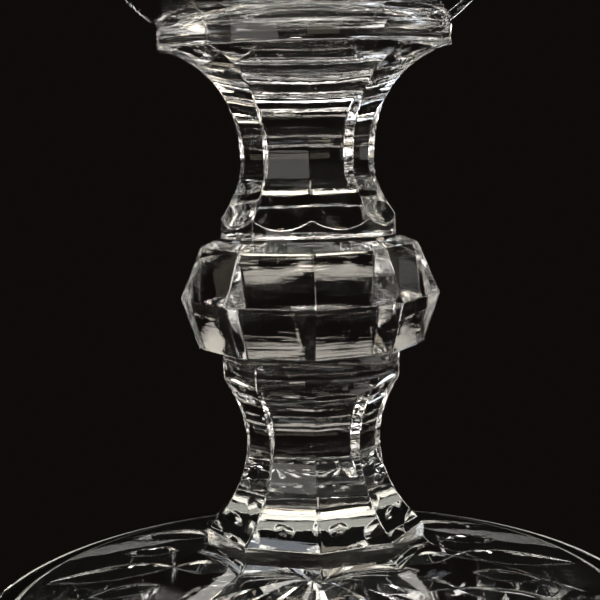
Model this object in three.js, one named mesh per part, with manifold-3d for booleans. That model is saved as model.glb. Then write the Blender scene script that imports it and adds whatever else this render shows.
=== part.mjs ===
// A pressed-glass candlestick: a shallow candle cup on a thin disc, a nine-sided stem with a double-cone
// knop in its middle, and a wide low base. Millimetres, +Z up, origin on the table at the middle of the base.
import * as THREE from 'three';
import { mergeVertices } from 'three/addons/utils/BufferGeometryUtils.js';
import Module from 'manifold-3d';

const wasm = await Module();
wasm.setup();

// ---- Driving dimensions ----
const sides = 9;                  // facets round the stem and the knop
const roundSteps = 72;            // steps round a turned piece, a multiple of the facets

const baseRadius = 69.7;          // outermost edge of the base
const baseHeight = 20.8;          // table to the top of the pad under the stem
const baseEdgeRound = 3.2;        // rounding of the rim of the base, which is a half round
const restWidth = 4.0;            // flat ring that the base rests on
const recessDepth = 1.4;          // hollow under the base, inside that ring

// The pattern pressed into the underside of the base: a ray and a leaf in each of these directions, by turns
// long and short. Each is a V groove that runs out to a point.
const patternDirections = 24;
const longLeaf = { inner: 27.0, outer: 57.0, halfWidth: 3.6, depth: 2.0 };
const shortLeaf = { inner: 29.5, outer: 43.5, halfWidth: 2.4, depth: 1.4 };
const leafBulge = [0.35, 0.65];   // shares of the length between which a leaf is at its widest and deepest
const longRay = { inner: 3.0, outer: 26.0, depth: 1.3 };
const shortRay = { inner: 3.0, outer: 18.0, depth: 1.1 };
const rayBulge = [0.75, 0.8];
const rayLand = 0.2;              // glass left between two rays where they are widest

const plinthCorner = 22.0;        // centre to corner of the plinth under the lower stem
const plinthHeight = 3.3;
const padRise = 0.9;              // sloping pad that the plinth stands on, part of the base

const lowerWaistCorner = 13.5;    // centre to corner at the narrowest place of the lower stem
const lowerWaistRise = 17.1;      // plinth top to the lower waist
const lowerShoulderRise = 14.1;   // lower waist up to where the facets have run out
const lowerCollarRadius = 17.5;
const lowerCollarHeight = 4.6;    // round collar under the knop, where there are no facets

const knopCorner = 25.7;          // centre to corner at the girdle
const knopTopCorner = 21.5;
const knopBottomCorner = 22.4;
const knopUpperHeight = 9.9;      // girdle to the top edge
const knopLowerHeight = 10.0;     // girdle to the bottom edge
const knopShoulder = 1.2;         // slope from the top edge in to the collar
const knopUnderside = 0.7;        // the same under the bottom edge

const upperCollarRadius = 17.15;
const upperCollarHeight = 2.8;    // round collar on the knop, up to the foot of the facets
const upperShoulderRise = 12.0;   // foot of the facets up to the upper waist
const upperWaistCorner = 13.2;    // centre to corner at the narrowest place of the upper stem
const upperWaistRise = 21.7;      // upper waist to the disc

const discRadius = 28.55;
const mouthInset = 1.05;          // how far the corners of the stem stop short of the edge of the disc
const discHeight = 3.9;
const discEdgeRound = 0.7;

const cupSphere = 48.0;           // radius of the outside of the cup
const cupFootInset = 1.2;         // how far the foot of the cup sits in from the edge of the disc
const cupHeight = 30.3;
const cupWall = 4.5;
const seatThickness = 3.5;        // glass under the candle
const seatFillet = 8.0;           // rounding between the seat and the wall

// ---- Heights that follow ----
const cornerToFlat = Math.cos(Math.PI / sides);
const padBottomFlat = (plinthCorner + padRise) * cornerToFlat;
const domeTop = baseHeight - padRise;
const rimCentre = baseRadius - baseEdgeRound;
const rimReach = Math.hypot(rimCentre - padBottomFlat, domeTop - baseEdgeRound);
const baseSlope = THREE.MathUtils.radToDeg(
  Math.atan2(domeTop - baseEdgeRound, rimCentre - padBottomFlat) - Math.asin(baseEdgeRound / rimReach));
const plinthTop = baseHeight + plinthHeight;
const lowerWaist = plinthTop + lowerWaistRise;
const knopBottom = lowerWaist + lowerShoulderRise + lowerCollarHeight;
const knopBottomEdge = knopBottom + knopUnderside;
const girdle = knopBottomEdge + knopLowerHeight;
const knopTopEdge = girdle + knopUpperHeight;
const knopTop = knopTopEdge + knopShoulder;
const upperWaist = knopTop + upperCollarHeight + upperShoulderRise;
const discBottom = upperWaist + upperWaistRise;
const discTop = discBottom + discHeight;
const mouthCorner = discRadius - mouthInset;
const cupTop = discTop + cupHeight;

// ---- Small tools ----
const point = (radius, height) => new THREE.Vector2(radius, height);

// Points on an arc from one angle to another, in degrees, in the plane of radius and height.
function arc(centreRadius, centreHeight, radius, from, to, steps) {
  const points = [];
  for (let i = 0; i <= steps; i += 1) {
    const angle = THREE.MathUtils.degToRad(from + (to - from) * i / steps);
    points.push(point(centreRadius + radius * Math.cos(angle), centreHeight + radius * Math.sin(angle)));
  }
  return points;
}

// Turns a profile about +Z. With as many steps as facets it gives a faceted solid, one corner facing -Y.
function turned(profile, steps) {
  const geometry = new THREE.LatheGeometry(profile, steps);
  geometry.rotateX(Math.PI / 2);
  return geometry;
}

// A closed geometry as a solid that can be joined and cut.
function solid(geometry) {
  const plain = geometry.clone();
  plain.deleteAttribute('normal');
  plain.deleteAttribute('uv');
  const merged = mergeVertices(plain, 1e-4);
  const corners = Array.from(merged.index.array);
  const kept = [];
  for (let i = 0; i < corners.length; i += 3) {
    const [a, b, c] = corners.slice(i, i + 3);
    if (a !== b && b !== c && c !== a) kept.push(a, b, c);
  }
  return new wasm.Manifold(new wasm.Mesh({
    numProp: 3,
    vertProperties: new Float32Array(merged.attributes.position.array),
    triVerts: new Uint32Array(kept),
  }));
}

function geometryOf(manifold) {
  const mesh = manifold.getMesh();
  const geometry = new THREE.BufferGeometry();
  geometry.setAttribute('position', new THREE.BufferAttribute(new Float32Array(mesh.vertProperties), 3));
  geometry.setIndex(new THREE.BufferAttribute(new Uint32Array(mesh.triVerts), 1));
  geometry.computeVertexNormals();
  return geometry;
}

// The concave run of a stem from its waist to a wider end, as one smooth curve of corner radii. It leaves the
// waist upright and reaches the end at a slope given in degrees from level; the pulls are shares of its height.
function flare(waistCorner, waistHeight, endCorner, endHeight, { waistPull, endPull, endSlope, steps }) {
  const height = endHeight - waistHeight;
  const slope = THREE.MathUtils.degToRad(endSlope);
  const reach = Math.abs(height) * endPull;
  return new THREE.CubicBezierCurve(
    point(waistCorner, waistHeight),
    point(waistCorner, waistHeight + height * waistPull),
    point(endCorner - reach * Math.cos(slope), endHeight - Math.sign(height) * reach * Math.sin(slope)),
    point(endCorner, endHeight),
  ).getPoints(steps);
}

const along = ({ inner, outer }, share) => inner + (outer - inner) * share;

// A V groove in the underside of the base along +X, pointed at both ends. It also reaches down into the empty
// recess, so that it cuts cleanly.
function groove(size, halfWidth, bulge) {
  const at = (share) => along(size, share);
  const outline = [
    [at(0), 0], [at(bulge[0]), halfWidth], [at(bulge[1]), halfWidth],
    [at(1), 0], [at(bulge[1]), -halfWidth], [at(bulge[0]), -halfWidth],
  ];
  return wasm.Manifold.hull([
    ...outline.map(([x, y]) => [x, y, recessDepth]),
    ...outline.map(([x, y]) => [x, y, recessDepth / 2]),
    [at(bulge[0]), 0, recessDepth + size.depth],
    [at(bulge[1]), 0, recessDepth + size.depth],
  ]);
}

function pattern() {
  const step = 360 / patternDirections;
  const halfStep = Math.tan(THREE.MathUtils.degToRad(step / 2));
  const grooves = [];
  for (let i = 0; i < patternDirections; i += 1) {
    const leaf = i % 2 ? longLeaf : shortLeaf;
    const ray = i % 2 ? longRay : shortRay;
    const turn = i * step - 90;
    const rayHalfWidth = along(ray, rayBulge[0]) * halfStep - rayLand / 2;
    grooves.push(groove(leaf, leaf.halfWidth, leafBulge).rotate([0, 0, turn]));
    grooves.push(groove(ray, rayHalfWidth, rayBulge).rotate([0, 0, turn]));
  }
  return wasm.Manifold.union(grooves);
}

// ---- Sub-parts ----
function baseGeometry() {
  const restInner = rimCentre - restWidth;
  const dome = [
    point(0, recessDepth),
    point(restInner - recessDepth, recessDepth),
    point(restInner, 0),
    ...arc(rimCentre, baseEdgeRound, baseEdgeRound, -90, 90 - baseSlope, 8),
    point(padBottomFlat, domeTop),
    point(0, domeTop),
  ];
  const padSkirt = padRise + 2;
  const pad = [
    point(0, baseHeight - padSkirt),
    point(plinthCorner + padSkirt, baseHeight - padSkirt),
    point(plinthCorner, baseHeight),
    point(0, baseHeight),
  ];
  const foot = solid(turned(dome, roundSteps)).add(solid(turned(pad, sides)));
  return geometryOf(foot.subtract(pattern()));
}

function lowerStemGeometry() {
  const facetsEnd = knopBottom - lowerCollarHeight;
  const spread = flare(lowerWaistCorner, lowerWaist, plinthCorner, plinthTop,
    { waistPull: 0.37, endPull: 0.41, endSlope: 40, steps: 12 });
  const shoulder = flare(lowerWaistCorner, lowerWaist, lowerCollarRadius / cornerToFlat, facetsEnd,
    { waistPull: 0.35, endPull: 0.3, endSlope: 50, steps: 10 });
  const facets = [
    point(0, baseHeight),
    point(plinthCorner, baseHeight),
    ...spread.reverse(),
    ...shoulder.slice(1),
    point(lowerCollarRadius / cornerToFlat + lowerCollarHeight, knopBottom),
    point(0, knopBottom),
  ];
  const stockRadius = plinthCorner + plinthHeight;
  const stock = [
    point(0, baseHeight),
    point(stockRadius, baseHeight),
    point(stockRadius, lowerWaist),
    point(lowerCollarRadius, lowerWaist),
    point(lowerCollarRadius, knopBottom),
    point(0, knopBottom),
  ];
  return geometryOf(solid(turned(stock, roundSteps)).intersect(solid(turned(facets, sides))));
}

function knopGeometry() {
  return turned([
    point(0, knopBottom),
    point(lowerCollarRadius / cornerToFlat, knopBottom),
    point(knopBottomCorner, knopBottomEdge),
    point(knopCorner, girdle),
    point(knopTopCorner, knopTopEdge),
    point(upperCollarRadius / cornerToFlat, knopTop),
    point(0, knopTop),
  ], sides);
}

function upperStemGeometry() {
  const facetsEnd = knopTop + upperCollarHeight;
  const shoulder = flare(upperWaistCorner, upperWaist, upperCollarRadius / cornerToFlat, facetsEnd,
    { waistPull: 0.42, endPull: 0.28, endSlope: 56, steps: 10 });
  const trumpet = flare(upperWaistCorner, upperWaist, mouthCorner, discBottom,
    { waistPull: 0.485, endPull: 0.5, endSlope: 20, steps: 16 });
  const facets = [
    point(0, knopTop),
    point(upperCollarRadius / cornerToFlat + upperCollarHeight, knopTop),
    ...shoulder.reverse(),
    ...trumpet.slice(1),
    point(0, discBottom),
  ];
  const stockRadius = mouthCorner + upperCollarHeight;
  const stock = [
    point(0, knopTop),
    point(upperCollarRadius, knopTop),
    point(upperCollarRadius, upperWaist),
    point(stockRadius, upperWaist),
    point(stockRadius, discBottom),
    point(0, discBottom),
  ];
  return geometryOf(solid(turned(stock, roundSteps)).intersect(solid(turned(facets, sides))));
}

function discGeometry() {
  return turned([
    point(0, discBottom),
    ...arc(discRadius - discEdgeRound, discBottom + discEdgeRound, discEdgeRound, -90, 0, 3),
    ...arc(discRadius - discEdgeRound, discTop - discEdgeRound, discEdgeRound, 0, 90, 3),
    point(0, discTop),
  ], roundSteps);
}

function cupGeometry() {
  const footRadius = discRadius - cupFootInset;
  const centre = discTop + Math.sqrt(cupSphere ** 2 - footRadius ** 2);
  const lipRound = cupWall / 2;
  const lipHeight = cupTop - lipRound;
  const lipTurn = THREE.MathUtils.radToDeg(Math.asin((lipHeight - centre) / (cupSphere - lipRound)));
  const lipRadius = Math.sqrt((cupSphere - lipRound) ** 2 - (lipHeight - centre) ** 2);
  const footTurn = THREE.MathUtils.radToDeg(Math.asin((discTop - centre) / cupSphere));
  const seat = discTop + seatThickness;
  const filletHeight = seat + seatFillet;
  const filletReach = cupSphere - cupWall - seatFillet;
  const filletTurn = THREE.MathUtils.radToDeg(Math.asin((filletHeight - centre) / filletReach));
  const seatRadius = Math.sqrt(filletReach ** 2 - (filletHeight - centre) ** 2);
  return turned([
    point(0, discTop),
    ...arc(0, centre, cupSphere, footTurn, lipTurn, 9),
    ...arc(lipRadius, lipHeight, lipRound, lipTurn, 90, 4).slice(1),
    ...arc(lipRadius, lipHeight, lipRound, 90, lipTurn + 180, 4).slice(1, -1),
    ...arc(0, centre, cupSphere - cupWall, lipTurn, filletTurn, 7),
    ...arc(seatRadius, filletHeight, seatFillet, filletTurn, -90, 3).slice(1),
    point(0, seat),
  ], roundSteps);
}

// ---- Assembly ----
const glass = (name, shade) => new THREE.MeshStandardMaterial({
  name, color: shade, roughness: 0.05, metalness: 0, transparent: true, opacity: 0.45,
});

function part(name, geometry, shade) {
  const mesh = new THREE.Mesh(geometry, glass(`${name}_glass`, shade));
  mesh.name = name;
  return mesh;
}

const candlestick = new THREE.Group();
candlestick.name = 'candlestick';
candlestick.add(
  part('base', baseGeometry(), 0xe9edee),
  part('lower_stem', lowerStemGeometry(), 0xedf0f0),
  part('knop', knopGeometry(), 0xf0f2f1),
  part('upper_stem', upperStemGeometry(), 0xedf0f0),
  part('disc', discGeometry(), 0xeef1f1),
  part('candle_cup', cupGeometry(), 0xf1f3f3),
);

export default candlestick;
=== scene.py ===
import math
import bpy
import numpy as np
from mathutils import Matrix, Vector


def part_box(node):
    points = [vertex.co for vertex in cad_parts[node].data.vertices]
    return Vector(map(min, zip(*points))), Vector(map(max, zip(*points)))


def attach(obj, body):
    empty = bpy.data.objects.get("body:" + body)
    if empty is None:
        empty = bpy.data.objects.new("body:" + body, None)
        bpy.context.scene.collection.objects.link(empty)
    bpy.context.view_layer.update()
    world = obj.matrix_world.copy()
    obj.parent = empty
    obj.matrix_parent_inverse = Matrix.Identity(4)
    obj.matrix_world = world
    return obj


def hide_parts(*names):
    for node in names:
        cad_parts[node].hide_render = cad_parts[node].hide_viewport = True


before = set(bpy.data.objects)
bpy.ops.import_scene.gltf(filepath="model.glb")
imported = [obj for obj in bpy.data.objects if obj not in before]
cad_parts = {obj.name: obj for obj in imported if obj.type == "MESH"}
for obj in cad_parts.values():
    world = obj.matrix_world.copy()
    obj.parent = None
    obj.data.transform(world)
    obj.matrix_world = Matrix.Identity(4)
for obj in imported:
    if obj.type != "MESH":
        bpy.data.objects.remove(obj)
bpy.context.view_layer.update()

# Looks of the glass candlestick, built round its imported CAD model. Blender 4.5, metres, +Z up.
# Every visible piece is a closed mesh of polar rings: a ring is a height and a radius for each direction
# round the stem. Neighbouring pieces share the outline of the face they meet on, and that face is
# see-through, so that light passes from piece to piece as it does in one block of fused glass.
MM = 0.001

# ---- Sizes that the frame gives ----
BASE_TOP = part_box("base")[1][2]
STEM_1_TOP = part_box("lower_stem")[1][2]
KNOP_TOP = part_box("knop")[1][2]
STEM_2_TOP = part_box("upper_stem")[1][2]
DISC_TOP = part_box("disc")[1][2]
CUP_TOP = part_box("candle_cup")[1][2]
BASE_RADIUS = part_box("base")[1][0]
DISC_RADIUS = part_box("disc")[1][0]

# ---- Sizes that boxes don't give, the same as in the CAD model ----
SIDES = 9
HALF_FACET = math.pi / SIDES
TO_FLAT = math.cos(HALF_FACET)
BASE_ROUND = 3.2 * MM
REST_WIDTH = 4.0 * MM
RECESS = 1.4 * MM
PLINTH_CORNER = 22.0 * MM
PLINTH_HEIGHT = 3.3 * MM
PAD_RISE = 0.9 * MM
WAIST_1_CORNER = 13.5 * MM
WAIST_1 = BASE_TOP + PLINTH_HEIGHT + 17.1 * MM
COLLAR_1_RADIUS = 17.5 * MM
COLLAR_1_HEIGHT = 4.6 * MM
KNOP_CORNER = 25.7 * MM
KNOP_TOP_CORNER = 21.5 * MM
KNOP_BOTTOM_CORNER = 22.4 * MM
KNOP_SHOULDER = 1.2 * MM
KNOP_UNDERSIDE = 0.7 * MM
GIRDLE = STEM_1_TOP + KNOP_UNDERSIDE + 10.0 * MM
COLLAR_2_RADIUS = 17.15 * MM
COLLAR_2_HEIGHT = 2.8 * MM
WAIST_2_CORNER = 13.2 * MM
WAIST_2 = KNOP_TOP + COLLAR_2_HEIGHT + 12.0 * MM
MOUTH_CORNER = 27.5 * MM
CUP_SPHERE = 48.0 * MM
CUP_FOOT_RADIUS = DISC_RADIUS - 1.2 * MM
CUP_WALL = 4.5 * MM
SEAT_THICKNESS = 3.5 * MM
SEAT_FILLET = 8.0 * MM

# ---- Pattern under the foot. Some cuts are 0.1 to 0.5 mm larger than in the CAD model ----
PATTERN_DIRECTIONS = 24           # a ray and a leaf in each, by turns long and short
LONG_LEAF = {"inner": 27.0 * MM, "outer": 57.0 * MM, "half_width": 3.7 * MM, "depth": 2.0 * MM}
SHORT_LEAF = {"inner": 29.5 * MM, "outer": 43.5 * MM, "half_width": 2.4 * MM, "depth": 1.4 * MM}
LONG_RAY = {"outer": 26.5 * MM, "depth": 1.4 * MM}
SHORT_RAY = {"outer": 18.0 * MM, "depth": 1.2 * MM}
RAY_FULL = 12.0 * MM              # radius at which the rays have their full depth
STAR_CENTRE = 0.4 * MM            # radius of the first ring of the underside

# ---- Finish of the glass ----
EDGE_ROUND = 0.8 * MM             # rounding of the corners between facets
RIM_ROUND = 0.45 * MM             # rounding of the edges that run round a piece
JOINT_ROUND = 0.35 * MM           # small fillet where one piece is fused to the next
SEAM_HEIGHT = 0.10 * MM           # mould seams, three of them, each on a corner of the stem
SEAM_WIDTH = 0.22 * MM
SEAM_SIDES = (-1, 2, 5)           # the corners that carry a seam
FINE_MARKS = 0.009 * MM           # height of the level tool marks, 0.4 mm apart
BROAD_MARKS = 0.014 * MM          # the same, 1.6 mm apart
WAVINESS = 0.04 * MM              # slow waviness of the fire-polished faces
KNOP_EDGE_ROUND = 0.6 * MM        # rounding of the corners between the facets of the knop
JOINT_LIP = 0.02 * MM             # least that the knop stands proud of the stems fused to it
DISC_EDGE_HOLLOW = 0.16 * MM
DISC_EDGE_INSET = 0.9 * MM
DISC_EDGE_ROUND = 0.6 * MM
PAD_BLEND = 0.25 * MM             # softness of the fold where the cone of the foot meets the pad
GLASS_IOR = 1.52

# ---- Fineness of the meshes ----
RING_SPACING = 0.5 * MM           # longest step between the rings of a faceted piece
FOOT_DIRECTIONS = 720
UNDERSIDE_RINGS = 110
RIM_STEPS = 26
FOOT_TOP_RINGS = 70

# ---- Setting ----
STAND_MARGIN = 3.5 * MM           # how far the stand reaches past the foot
STAND_THICKNESS = 6 * MM
STAND_DARK_INSET = 2.0 * MM       # from the edge of the foot in to the dark middle of the stand
LAMP_DISTANCE = 0.9


# ---- Camera ----
def add_camera():
    """Close to the object, level with the upper stem and looking a little down, as the photographer stood."""
    azimuth = math.radians(-2.64)
    distance = 260.0 * MM
    height = 104.6 * MM
    heading = math.radians(-2.22)    # of the line of sight, from +Y
    pitch = math.radians(-7.78)
    roll = math.radians(1.37)
    data = bpy.data.cameras.new("camera")
    data.sensor_width = 36.0
    data.lens = 79.2
    data.clip_start = 0.01
    camera = bpy.data.objects.new("camera", data)
    bpy.context.scene.collection.objects.link(camera)
    level = math.cos(pitch)
    forward = Vector((math.sin(-heading) * level, math.cos(heading) * level, math.sin(pitch)))
    right = forward.cross(Vector((0, 0, 1))).normalized()
    up = right.cross(forward)
    turned_right = right * math.cos(roll) - up * math.sin(roll)
    turned_up = right * math.sin(roll) + up * math.cos(roll)
    place = Vector((distance * math.sin(azimuth), -distance * math.cos(azimuth), height))
    rows = zip(turned_right, turned_up, -forward, place)
    camera.matrix_world = Matrix([*[tuple(row) for row in rows], (0, 0, 0, 1)])
    bpy.context.scene.camera = camera


# ---- Outlines in the plane of radius and height ----
def arc(centre, radius, start, end, steps):
    """Points on an arc between two angles in degrees, measured from level outwards."""
    angles = np.radians(np.linspace(start, end, steps + 1))
    return [(centre[0] + radius * math.cos(a), centre[1] + radius * math.sin(a)) for a in angles]


def flare(waist, end, waist_pull, end_pull, end_slope, steps):
    """The smooth run of a stem from its waist to a wider end: a Bezier curve, upright at the waist."""
    height = end[1] - waist[1]
    slope = math.radians(end_slope)
    reach = abs(height) * end_pull
    pull_1 = (waist[0], waist[1] + height * waist_pull)
    pull_2 = (end[0] - reach * math.cos(slope), end[1] - math.copysign(reach * math.sin(slope), height))
    points = []
    for t in np.linspace(0, 1, steps + 1):
        weights = ((1 - t) ** 3, 3 * (1 - t) ** 2 * t, 3 * (1 - t) * t * t, t ** 3)
        pulls = list(zip(weights, (waist, pull_1, pull_2, end)))
        points.append(tuple(sum(w * p[i] for w, p in pulls) for i in (0, 1)))
    return points


def rounded(points, radius, steps=5):
    """The same line with its inner corners rounded, as far as the lengths beside them allow."""
    result = [points[0]]
    for before, here, after in zip(points, points[1:], points[2:]):
        a, b, c = (np.array(p) for p in (before, here, after))
        to_a, to_c = a - b, c - b
        length_a, length_c = np.linalg.norm(to_a), np.linalg.norm(to_c)
        to_a, to_c = to_a / length_a, to_c / length_c
        turn = math.acos(max(-1.0, min(1.0, float(-to_a @ to_c))))
        if turn < math.radians(4):
            result.append(here)
            continue
        cut = min(radius * math.tan(turn / 2), 0.45 * length_a, 0.45 * length_c)
        for t in np.linspace(0, 1, steps + 1):
            towards_ends = (1 - t) ** 2 * (b + to_a * cut) + 2 * (1 - t) * t * b + t * t * (b + to_c * cut)
            result.append(tuple(towards_ends))
    result.append(points[-1])
    return result


def filled(points, longest):
    """The same line with points added where two are further apart than longest."""
    result = [points[0]]
    for a, b in zip(points, points[1:]):
        count = max(1, math.ceil(math.dist(a, b) / longest))
        result += [tuple(np.array(a) + (np.array(b) - np.array(a)) * i / count) for i in range(1, count + 1)]
    return result


# ---- Directions round the stem ----
def facet_directions(per_facet=28):
    """Directions in radians from -Y towards +X, closest together at the corners of the stem."""
    spread = HALF_FACET * np.sin(math.pi / 2 * np.linspace(-1, 1, per_facet + 1)[:-1])
    return np.concatenate([spread + (2 * k + 1) * HALF_FACET for k in range(SIDES)])


def round_directions(count):
    """Directions as above, evenly spaced."""
    return np.arange(count) * 2 * math.pi / count


def nine_sided(corner, directions, rounding=EDGE_ROUND):
    """Radii of a nine-sided ring, its corners in line with the stem's and a little rounded."""
    power = min(900.0, corner * math.log(2) / (rounding * (1 / TO_FLAT - 1)))
    total = np.zeros_like(directions)
    for k in range(SIDES):
        total += np.clip(np.cos(directions - (2 * k + 1) * HALF_FACET), 0, None) ** power
    return corner * TO_FLAT / total ** (1 / power)


def smaller(a, b, power=420.0):
    """The smaller of two sets of radii, with the edge where they cross slightly rounded."""
    least = np.minimum(a, b)
    return least * ((least / a) ** power + (least / b) ** power) ** (-1 / power)


def seam(directions, radius):
    """Height of the mould seams: a narrow ridge in three directions."""
    height = np.zeros_like(directions)
    for k in SEAM_SIDES:
        off = np.angle(np.exp(1j * (directions - 2 * k * HALF_FACET)))
        height += SEAM_HEIGHT * np.exp(-(off * radius / (SEAM_WIDTH / 2)) ** 2)
    return height


# ---- Meshes ----
def solid_of_rings(name, directions, rings, bottom_joint=None, top_joint=None):
    """A closed mesh from rings of (radii, heights), with a fan at each end. Where bottom_joint or top_joint is
    a number, that end's fan and as many strips next to it are the see-through face of a joint."""
    count = len(directions)
    sines, cosines = np.sin(directions), -np.cos(directions)
    points = []
    for radii, heights in rings:
        radii = np.broadcast_to(radii, count)
        heights = np.broadcast_to(heights, count)
        points.append(np.stack([radii * sines, radii * cosines, heights], axis=1))
    centres = np.array([[0, 0, points[0][:, 2].mean()], [0, 0, points[-1][:, 2].mean()]])
    vertices = np.concatenate([*points, centres])
    faces, joint = [], []
    last = len(rings) - 1
    low, high = count * len(rings), count * len(rings) + 1
    for j in range(count):
        after = (j + 1) % count
        faces.append((low, after, j))
        joint.append(bottom_joint is not None)
        for i in range(last):
            faces.append((i * count + j, i * count + after, (i + 1) * count + after, (i + 1) * count + j))
            near_bottom = bottom_joint is not None and i < bottom_joint
            near_top = top_joint is not None and i >= last - top_joint
            joint.append(near_bottom or near_top)
        faces.append((last * count + j, last * count + after, high))
        joint.append(top_joint is not None)
    mesh = bpy.data.meshes.new(name)
    mesh.from_pydata(vertices.tolist(), [], faces)
    mesh.materials.append(glass_material())
    mesh.materials.append(joint_material())
    mesh.polygons.foreach_set("material_index", [int(j) for j in joint])
    mesh.polygons.foreach_set("use_smooth", [True] * len(faces))
    mesh.update()
    piece = bpy.data.objects.new(name, mesh)
    bpy.context.scene.collection.objects.link(piece)
    sharpen(mesh)
    return piece


def sharpen(mesh, angle=28):
    """Marks edges that turn by more than the angle as sharp, so that flat joint faces shade flat."""
    mesh.set_sharp_from_angle(angle=math.radians(angle))


def stand_for(piece, node):
    """Lets a glass piece take the place of its CAD node."""
    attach(piece, "root")
    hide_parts(node)


# ---- Materials ----
def node_maker(material):
    """The emptied node tree of a material, and a function that adds a node to it. A value is set on the node
    where it has a property of that name, and otherwise on its input."""
    material.use_nodes = True
    tree = material.node_tree
    tree.nodes.clear()

    def make(kind, **values):
        node = tree.nodes.new(kind)
        for key, value in values.items():
            if hasattr(node, key):
                setattr(node, key, value)
            else:
                node.inputs[key.replace("_", " ")].default_value = value
        return node

    return tree, make


def level_streaks(tree, make, place, across, along, detail):
    """Noise drawn out round the stem: across and along are features per metre, level and upright."""
    space = make("ShaderNodeMapping")
    space.inputs["Scale"].default_value = (across, across, along)
    tree.links.new(place.outputs["Object"], space.inputs["Vector"])
    streaks = make("ShaderNodeTexNoise", Scale=1.0, Detail=detail, Roughness=0.55)
    tree.links.new(space.outputs["Vector"], streaks.inputs["Vector"])
    return streaks.outputs["Fac"]


def glass_material():
    """Clear pressed glass: fine level tool marks from the mould and a slight waviness."""
    if "pressed_glass" in bpy.data.materials:
        return bpy.data.materials["pressed_glass"]
    material = bpy.data.materials.new("pressed_glass")
    tree, make = node_maker(material)
    place = make("ShaderNodeTexCoord")
    fine = level_streaks(tree, make, place, 60, 2300, 2.0)
    broad = level_streaks(tree, make, place, 30, 620, 1.0)
    waves = make("ShaderNodeTexNoise", Scale=110.0, Detail=1.0, Roughness=0.4)
    tree.links.new(place.outputs["Object"], waves.inputs["Vector"])
    fine_bump = make("ShaderNodeBump", Strength=1.0, Distance=FINE_MARKS)
    tree.links.new(fine, fine_bump.inputs["Height"])
    broad_bump = make("ShaderNodeBump", Strength=1.0, Distance=BROAD_MARKS)
    tree.links.new(broad, broad_bump.inputs["Height"])
    tree.links.new(fine_bump.outputs["Normal"], broad_bump.inputs["Normal"])
    wave_bump = make("ShaderNodeBump", Strength=1.0, Distance=WAVINESS)
    tree.links.new(waves.outputs["Fac"], wave_bump.inputs["Height"])
    tree.links.new(broad_bump.outputs["Normal"], wave_bump.inputs["Normal"])
    glass = make("ShaderNodeBsdfPrincipled", Roughness=0.0, IOR=GLASS_IOR)
    glass.inputs["Base Color"].default_value = (0.985, 0.99, 0.985, 1)
    glass.inputs["Transmission Weight"].default_value = 1.0
    tree.links.new(wave_bump.outputs["Normal"], glass.inputs["Normal"])
    clear = make("ShaderNodeBsdfTransparent")
    clear.inputs["Color"].default_value = (0.9, 0.92, 0.91, 1)
    rays = make("ShaderNodeLightPath")
    mix = make("ShaderNodeMixShader")
    tree.links.new(rays.outputs["Is Shadow Ray"], mix.inputs["Fac"])
    tree.links.new(glass.outputs["BSDF"], mix.inputs[1])
    tree.links.new(clear.outputs["BSDF"], mix.inputs[2])
    output = make("ShaderNodeOutputMaterial")
    tree.links.new(mix.outputs["Shader"], output.inputs["Surface"])
    return material


def joint_material():
    """The face on which two pieces are fused: there is nothing to see."""
    if "fused_joint" in bpy.data.materials:
        return bpy.data.materials["fused_joint"]
    material = bpy.data.materials.new("fused_joint")
    tree, make = node_maker(material)
    clear = make("ShaderNodeBsdfTransparent")
    output = make("ShaderNodeOutputMaterial")
    tree.links.new(clear.outputs["BSDF"], output.inputs["Surface"])
    return material


# ---- Pieces ----
def add_stem(node, sides, stock):
    """A stem with the outline sides, its corners no further out than the radius that stock gives for a
    height. Returns the radii of its lowest and highest rings, for the pieces that are fused to it."""
    directions = facet_directions()
    rings = []
    for corner, height in filled(sides, RING_SPACING):
        radii = smaller(nine_sided(corner, directions), np.full_like(directions, stock(height)))
        rings.append((radii + seam(directions, float(radii.max())), height))
    piece = solid_of_rings(node + "_glass", directions, rings, 0, 0)
    stand_for(piece, node)
    return rings[0][0], rings[-1][0]


def lower_stem():
    """From the plinth on the foot, through the lower waist, up to the round collar under the knop."""
    plinth_top = BASE_TOP + PLINTH_HEIGHT
    facets_end = STEM_1_TOP - COLLAR_1_HEIGHT
    waist = (WAIST_1_CORNER, WAIST_1)
    spread = flare(waist, (PLINTH_CORNER, plinth_top), 0.37, 0.41, 40, 40)[::-1]
    shoulder = flare(waist, (COLLAR_1_RADIUS / TO_FLAT, facets_end), 0.35, 0.3, 50, 34)
    sides = rounded([(PLINTH_CORNER, BASE_TOP), *spread, *shoulder[1:]], RIM_ROUND)
    sides += [(COLLAR_1_RADIUS / TO_FLAT + (h - facets_end), h)
              for h in np.linspace(facets_end, STEM_1_TOP, 12)[1:]]
    fused = STEM_1_TOP - JOINT_ROUND

    def stock(height):
        """Radius of the round glass at a height."""
        if height < WAIST_1:
            return 2 * PLINTH_CORNER
        return COLLAR_1_RADIUS + max(0.0, height - fused) ** 2 / JOINT_ROUND

    return add_stem("lower_stem", sides, stock)


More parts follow.
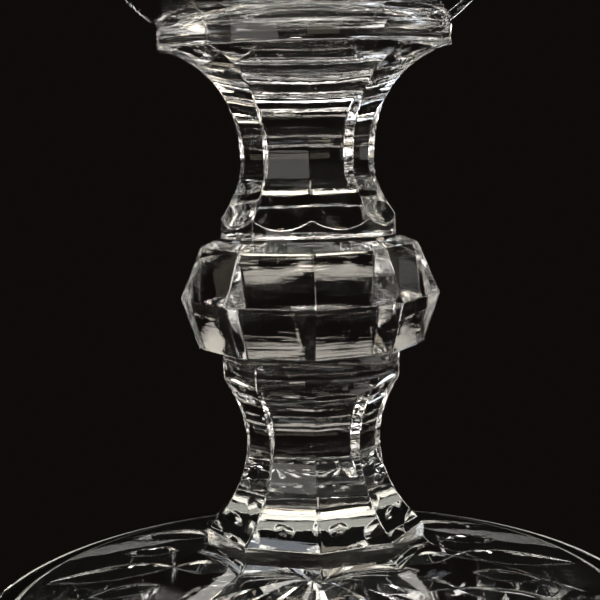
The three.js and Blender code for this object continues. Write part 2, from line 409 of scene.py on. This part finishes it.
def upper_stem():
    """From the round collar on the knop, through the upper waist, out to the trumpet under the disc."""
    facets_end = KNOP_TOP + COLLAR_2_HEIGHT
    waist = (WAIST_2_CORNER, WAIST_2)
    shoulder = flare(waist, (COLLAR_2_RADIUS / TO_FLAT, facets_end), 0.42, 0.28, 56, 34)[::-1]
    trumpet = flare(waist, (MOUTH_CORNER, STEM_2_TOP), 0.485, 0.5, 20, 60)
    collar = [(COLLAR_2_RADIUS / TO_FLAT + (facets_end - h), h)
              for h in np.linspace(KNOP_TOP, facets_end, 9)[:-1]]
    fused = KNOP_TOP + JOINT_ROUND

    def stock(height):
        """Radius of the round glass at a height."""
        if height > WAIST_2:
            return 2 * MOUTH_CORNER
        return COLLAR_2_RADIUS + max(0.0, fused - height) ** 2 / JOINT_ROUND

    return add_stem("upper_stem", [*collar, *shoulder, *trumpet[1:]], stock)


def knop(below, above):
    """The double cone between the collars; below and above are the outlines of the stems fused to it."""
    directions = facet_directions()
    top_edge = KNOP_TOP - KNOP_SHOULDER
    bottom_edge = STEM_1_TOP + KNOP_UNDERSIDE
    sides = rounded([
        (COLLAR_1_RADIUS / TO_FLAT, STEM_1_TOP), (KNOP_BOTTOM_CORNER, bottom_edge), (KNOP_CORNER, GIRDLE),
        (KNOP_TOP_CORNER, top_edge), (COLLAR_2_RADIUS / TO_FLAT, KNOP_TOP)], RIM_ROUND)
    rings = [(below, STEM_1_TOP)]
    for corner, height in filled(sides, RING_SPACING):
        radii = nine_sided(corner, directions, KNOP_EDGE_ROUND)
        radii = radii + seam(directions, float(radii.max()))
        radii = np.maximum(radii, (below if height < GIRDLE else above) + JOINT_LIP)
        rings.append((radii, height))
    rings.append((above, KNOP_TOP))
    piece = solid_of_rings("knop_glass", directions, rings, 0, 0)
    stand_for(piece, "knop")


def disc(below):
    """The thin disc between the stem and the cup, its edge slightly hollow between two rounded corners."""
    directions = facet_directions()
    middle = (STEM_2_TOP + DISC_TOP) / 2
    half = (DISC_TOP - STEM_2_TOP) / 2
    inset = DISC_RADIUS - DISC_EDGE_INSET
    edge = [(DISC_RADIUS - DISC_EDGE_HOLLOW * (1 - ((h - middle) / half) ** 2), h)
            for h in np.linspace(STEM_2_TOP, DISC_TOP, 9)]
    outline = rounded([(inset, STEM_2_TOP), *edge, (inset, DISC_TOP)], DISC_EDGE_ROUND, 7)
    rings = [(below, STEM_2_TOP)]
    for radius, height in outline:
        rings.append((radius + seam(directions, radius) - SEAM_HEIGHT, height))
    rings.append((CUP_FOOT_RADIUS, DISC_TOP))
    piece = solid_of_rings("disc_glass", directions, rings, 0, 0)
    stand_for(piece, "disc")


def candle_cup():
    """The cup: a shallow bowl between two spheres of one centre, with a flat seat for the candle."""
    directions = facet_directions()
    centre = DISC_TOP + math.sqrt(CUP_SPHERE ** 2 - CUP_FOOT_RADIUS ** 2)
    lip_round = CUP_WALL / 2
    lip_height = CUP_TOP - lip_round
    middle = CUP_SPHERE - lip_round
    lip_turn = math.degrees(math.asin((lip_height - centre) / middle))
    lip_radius = math.sqrt(middle ** 2 - (lip_height - centre) ** 2)
    foot_turn = math.degrees(math.asin((DISC_TOP - centre) / CUP_SPHERE))
    seat = DISC_TOP + SEAT_THICKNESS
    fillet_reach = CUP_SPHERE - CUP_WALL - SEAT_FILLET
    fillet_turn = math.degrees(math.asin((seat + SEAT_FILLET - centre) / fillet_reach))
    seat_radius = math.sqrt(fillet_reach ** 2 - (seat + SEAT_FILLET - centre) ** 2)
    outside = [
        *arc((0, centre), CUP_SPHERE, foot_turn, lip_turn, 70),
        *arc((lip_radius, lip_height), lip_round, lip_turn, lip_turn + 180, 24)[1:-1]]
    inside = [
        *arc((0, centre), CUP_SPHERE - CUP_WALL, lip_turn, fillet_turn, 56),
        *arc((seat_radius, seat + SEAT_FILLET), SEAT_FILLET, fillet_turn, -90, 16)[1:]]
    rings = [(r + seam(directions, r) * min(1, i / 3), h) for i, (r, h) in enumerate(outside)]
    rings += [(r, h) for r, h in inside]
    rings += [(seat_radius * share, seat) for share in (0.75, 0.5, 0.25)]
    piece = solid_of_rings("candle_cup_glass", directions, rings, 0, None)
    stand_for(piece, "candle_cup")


def leaf(radius, off, size):
    """Depth of one pointed leaf at a distance off its middle line: a V, widest and deepest half way out."""
    share = min(max((radius - size["inner"]) / (size["outer"] - size["inner"]), 0.0), 1.0)
    edge = size["half_width"] * math.sin(math.pi * share) ** 0.75
    return np.clip(size["depth"] * (edge - np.abs(off)) / size["half_width"], 0, None)


def ray(radius, off, size):
    """Depth of one ray of the star: a V that fills its share of the circle and ends in a point."""
    half_step = math.pi / PATTERN_DIRECTIONS
    end = min(1.0, 5 * max(0.0, 1 - radius / size["outer"]))
    depth = np.clip(size["depth"] * (end - np.abs(off) / (radius * half_step)), 0, None)
    return depth * min(1, radius / RAY_FULL)


def underside(radius, directions):
    """Heights of a ring of the underside: the plain recess, with the star and the leaves pressed into it."""
    height = np.full(len(directions), RECESS)
    for k in range(PATTERN_DIRECTIONS):
        off = np.angle(np.exp(1j * (directions - 2 * math.pi * k / PATTERN_DIRECTIONS))) * radius
        leaf_size = LONG_LEAF if k % 2 else SHORT_LEAF
        ray_size = LONG_RAY if k % 2 else SHORT_RAY
        cut = np.maximum(leaf(radius, off, leaf_size), ray(radius, off, ray_size))
        height = np.maximum(height, RECESS + cut)
    return height


def base(above):
    """The wide foot: a low cone with a rounded rim, and a star and leaves pressed into its underside."""
    directions = round_directions(FOOT_DIRECTIONS)
    rim = BASE_RADIUS - BASE_ROUND
    pad_flat = (PLINTH_CORNER + PAD_RISE) * TO_FLAT
    dome_top = BASE_TOP - PAD_RISE
    rim_reach = math.hypot(rim - pad_flat, dome_top - BASE_ROUND)
    slope = math.atan2(dome_top - BASE_ROUND, rim - pad_flat) - math.asin(BASE_ROUND / rim_reach)
    rest_inner = rim - REST_WIDTH
    under = np.linspace(STAR_CENTRE, rest_inner - RECESS, UNDERSIDE_RINGS)
    rings = [(r, underside(r, directions)) for r in under]
    rings += [(rest_inner - RECESS * 0.5, RECESS * 0.5), (rest_inner, 0.0)]
    rings += arc((rim, BASE_ROUND), BASE_ROUND, -90, 90 - math.degrees(slope), RIM_STEPS)
    top_ring = np.interp(directions, facet_directions(), above, period=2 * math.pi)
    foot_radius, foot_height = rings[-1]
    for i in range(1, FOOT_TOP_RINGS + 1):
        share = i / FOOT_TOP_RINGS
        radius = foot_radius + (top_ring - foot_radius) * share
        cone = foot_height + (foot_radius - radius) * math.tan(slope)
        pad = BASE_TOP - (radius - top_ring)
        rise = np.logaddexp(cone / PAD_BLEND, pad / PAD_BLEND) * PAD_BLEND
        height = np.minimum(rise, BASE_TOP)
        lift = seam(directions, float(radius.mean()))
        rings.append((radius, height + lift * math.sin(math.pi * share) ** 0.3))
    rings[-1] = (top_ring, BASE_TOP)
    piece = solid_of_rings("base_glass", directions, rings, None, 0)
    stand_for(piece, "base")


# ---- Floor and light ----
def stand_material():
    """Pale. Rays that come through glass see its middle, under the foot, as near black."""
    material = bpy.data.materials.new("pale_stand")
    tree, make = node_maker(material)
    place = make("ShaderNodeTexCoord")
    distance = make("ShaderNodeVectorMath", operation="LENGTH")
    tree.links.new(place.outputs["Object"], distance.inputs[0])
    under_foot = make("ShaderNodeMath", operation="LESS_THAN")
    under_foot.inputs[1].default_value = BASE_RADIUS - STAND_DARK_INSET
    tree.links.new(distance.outputs["Value"], under_foot.inputs[0])
    rays = make("ShaderNodeLightPath")
    seen_through = make("ShaderNodeMath", operation="MULTIPLY")
    tree.links.new(rays.outputs["Is Transmission Ray"], seen_through.inputs[0])
    tree.links.new(under_foot.outputs["Value"], seen_through.inputs[1])
    pale = make("ShaderNodeBsdfDiffuse")
    pale.inputs["Color"].default_value = (0.8, 0.795, 0.78, 1)
    dark = make("ShaderNodeBsdfDiffuse")
    dark.inputs["Color"].default_value = (0.004, 0.004, 0.004, 1)
    mix = make("ShaderNodeMixShader")
    tree.links.new(seen_through.outputs["Value"], mix.inputs["Fac"])
    tree.links.new(pale.outputs["BSDF"], mix.inputs[1])
    tree.links.new(dark.outputs["BSDF"], mix.inputs[2])
    output = make("ShaderNodeOutputMaterial")
    tree.links.new(mix.outputs["Shader"], output.inputs["Surface"])
    return material


def add_stand():
    """A round pale stand, so little wider than the foot that the foot hides it from the camera."""
    radius = BASE_RADIUS + STAND_MARGIN
    count = 256
    directions = round_directions(count)
    top = [(radius * math.sin(d), -radius * math.cos(d), 0) for d in directions]
    low = [(x, y, -STAND_THICKNESS) for x, y, _ in top]
    mesh = bpy.data.meshes.new("stand")
    sides = [(count + j, count + (j + 1) % count, (j + 1) % count, j) for j in range(count)]
    mesh.from_pydata(top + low, [], [tuple(range(count)), tuple(range(2 * count - 1, count - 1, -1)), *sides])
    mesh.materials.append(stand_material())
    stand = bpy.data.objects.new("stand", mesh)
    bpy.context.scene.collection.objects.link(stand)


def add_world():
    """Near-black surroundings, a little warm."""
    world = bpy.data.worlds.new("studio")
    world.use_nodes = True
    world.node_tree.nodes["Background"].inputs["Color"].default_value = (0.0045, 0.0036, 0.0030, 1)
    world.node_tree.nodes["Background"].inputs["Strength"].default_value = 1.0
    bpy.context.scene.world = world


def add_lamp(name, azimuth, elevation, width, height, brightness, colour=(1.0, 1.0, 1.0)):
    """A soft box facing the middle of the stem. Its place and its size are in degrees as seen from there,
    azimuth from the camera's side towards the right, and brightness is how bright its face is."""
    turn, rise = math.radians(azimuth), math.radians(elevation)
    middle = Vector((0, 0, (BASE_TOP + DISC_TOP) / 2))
    towards = Vector((math.cos(rise) * math.sin(turn), -math.cos(rise) * math.cos(turn), math.sin(rise)))
    data = bpy.data.lights.new(name, "AREA")
    data.shape = "RECTANGLE"
    data.size = 2 * LAMP_DISTANCE * math.tan(math.radians(width) / 2)
    data.size_y = 2 * LAMP_DISTANCE * math.tan(math.radians(height) / 2)
    data.energy = math.pi * data.size * data.size_y * brightness
    data.color = colour
    lamp = bpy.data.objects.new(name, data)
    lamp.location = middle + towards * LAMP_DISTANCE
    lamp.rotation_euler = (-towards).to_track_quat("-Z", "Y").to_euler()
    bpy.context.scene.collection.objects.link(lamp)


def add_lights():
    """Eleven soft boxes, and two small bright ones in front that give the facets their sparkle."""
    white, warm, cool = (1.0, 0.97, 0.92), (1.0, 0.89, 0.72), (0.86, 0.92, 1.0)
    add_lamp("front_strip", 0, 33, 46, 9, 9.5, (1.0, 0.93, 0.82))
    add_lamp("front_left_key", -42, 37, 5, 3.2, 30.0, warm)
    add_lamp("front_right_key", 48, 36, 5, 3.2, 30.0, warm)
    add_lamp("front_left_low", -40, 8, 36, 26, 1.5, white)
    add_lamp("front_low", 12, 9, 24, 14, 0.8, warm)
    add_lamp("left_box", -90, 35, 16, 22, 10.0, white)
    add_lamp("right_box", 90, 35, 16, 22, 8.0, white)
    add_lamp("left_strip", -90, 65, 30, 8, 4.0, cool)
    add_lamp("right_strip", 90, 65, 30, 8, 4.0, warm)
    add_lamp("top_strip", 180, 78, 40, 8, 4.0, white)
    add_lamp("back_left_box", -135, 35, 12, 8, 3.0, cool)
    add_lamp("back_right_box", 135, 35, 12, 8, 4.0, warm)
    add_lamp("back_strip", 180, 40, 40, 5, 3.0, white)


def set_render():
    """Enough bounces for light to pass through the whole stem."""
    scene = bpy.context.scene
    scene.view_settings.view_transform = "Standard"
    scene.cycles.max_bounces = 40
    scene.cycles.transmission_bounces = 40
    scene.cycles.glossy_bounces = 16
    scene.cycles.diffuse_bounces = 3
    scene.cycles.transparent_max_bounces = 64
    scene.cycles.use_denoising = True


add_camera()
stem_1_bottom, stem_1_top = lower_stem()
stem_2_bottom, stem_2_top = upper_stem()
knop(stem_1_top, stem_2_bottom)
disc(stem_2_top)
candle_cup()
base(stem_1_bottom)
add_stand()
add_world()
add_lights()
set_render()
